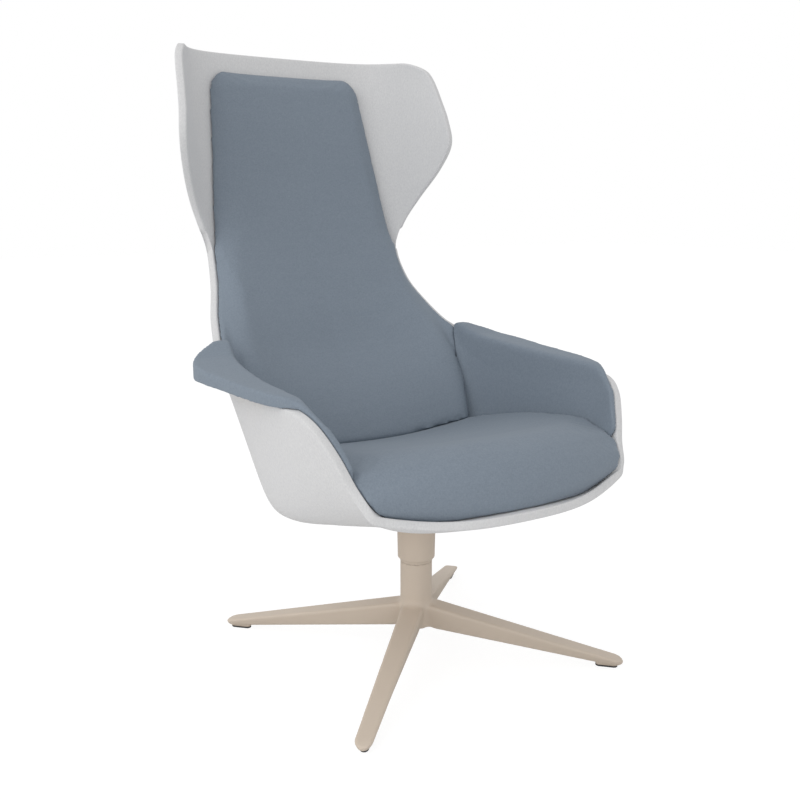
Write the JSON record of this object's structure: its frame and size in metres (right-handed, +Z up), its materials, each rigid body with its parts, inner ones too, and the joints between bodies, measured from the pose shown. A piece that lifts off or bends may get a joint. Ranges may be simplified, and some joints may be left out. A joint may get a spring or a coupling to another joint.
{
  "type": "acoustic high back lounge chair",
  "caption": "High back lounge chair: a moulded winged bucket shell with seat, back and arm pads on a swivelling star base with tapered legs.",
  "frame": {"origin": "on the floor under the middle of the chair's bounding box", "axes": "+Z up, -Y to the front of the seat, +X to the sitter's left"},
  "size_m": [0.6778, 0.8604, 1.0847],
  "materials": {
    "shell_felt": "light grey moulded felt",
    "upholstery": "blue grey wool cloth",
    "pad_board": "plywood",
    "frame_coat": "satin beige powder coat",
    "steel": "brushed",
    "dark_plastic": "matte"
  },
  "bodies": {
    "base": {"star_base": "frame_coat", "swivel_post": "steel", "retaining_ring": "steel", "thrust_washer": "dark_plastic", "post_washer": "steel", "post_nut": "steel", "glide_1": "dark_plastic", "glide_2": "dark_plastic", "glide_3": "dark_plastic", "glide_4": "dark_plastic", "glide_stud_1": "steel", "glide_stud_2": "steel", "glide_stud_3": "steel", "glide_stud_4": "steel"},
    "seat": {"outer_shell": "shell_felt", "back_pad": "upholstery", "back_board": "pad_board", "seat_cushion": "upholstery", "seat_board": "pad_board", "left_arm_pad": "upholstery", "left_arm_board": "pad_board", "right_arm_pad": "upholstery", "right_arm_board": "pad_board", "seat_plate": "frame_coat", "plate_bolt_1": "steel", "plate_bolt_2": "steel", "plate_bolt_3": "steel", "plate_bolt_4": "steel", "board_nut_1": "steel", "board_nut_2": "steel", "board_nut_3": "steel", "board_nut_4": "steel", "swivel_sleeve": "frame_coat", "upper_bush": "dark_plastic", "lower_bush": "dark_plastic"}
  },
  "joints": [
    {"name": "swivel", "type": "hinge", "parent": "base", "child": "seat", "pos_m": [0, -0.11436, 0.16], "axis": [0, 0, 1], "continuous": true}
  ]
}
